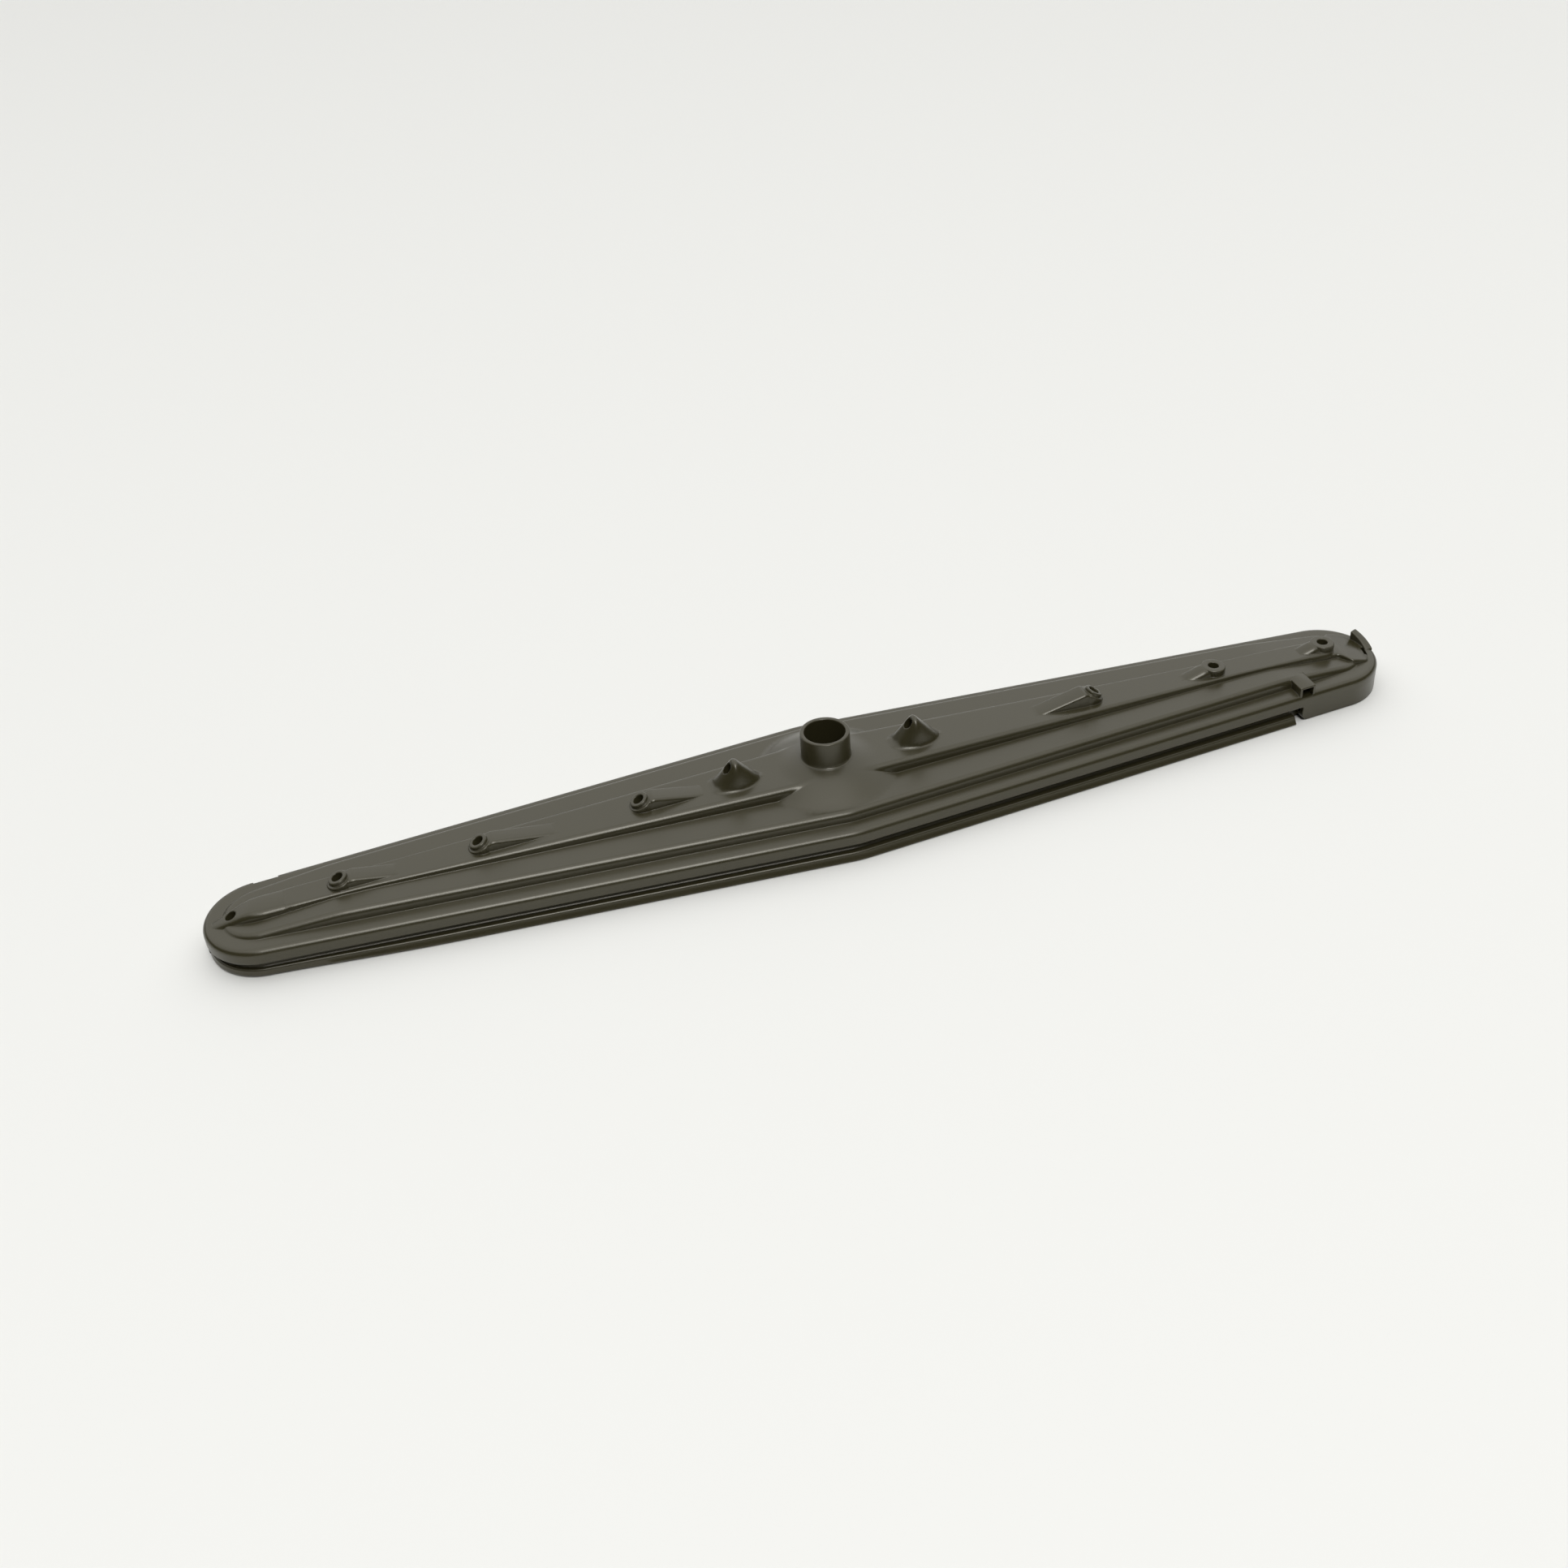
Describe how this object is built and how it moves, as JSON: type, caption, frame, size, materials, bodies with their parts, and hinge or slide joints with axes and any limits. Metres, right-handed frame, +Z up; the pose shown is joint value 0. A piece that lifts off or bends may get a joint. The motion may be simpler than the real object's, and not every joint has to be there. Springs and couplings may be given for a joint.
{
  "type": "dishwasher spray arm",
  "caption": "Long hollow plastic spray arm with a central feed spigot, a raised water channel and leaning jets on its upper side.",
  "frame": {"origin": "on the spigot's axis, in the plane that the arm rests on", "axes": "+X along the arm, towards the end with the hooded drive jet; +Z up, along the spigot"},
  "size_m": [0.473, 0.0772, 0.0333],
  "materials": {
    "upper_plastic": "fine satin moulded grey",
    "lower_plastic": "fine satin moulded grey"
  },
  "bodies": {
    "root": {"upper_shell": "upper_plastic", "lower_shell": "lower_plastic"}
  },
  "joints": []
}
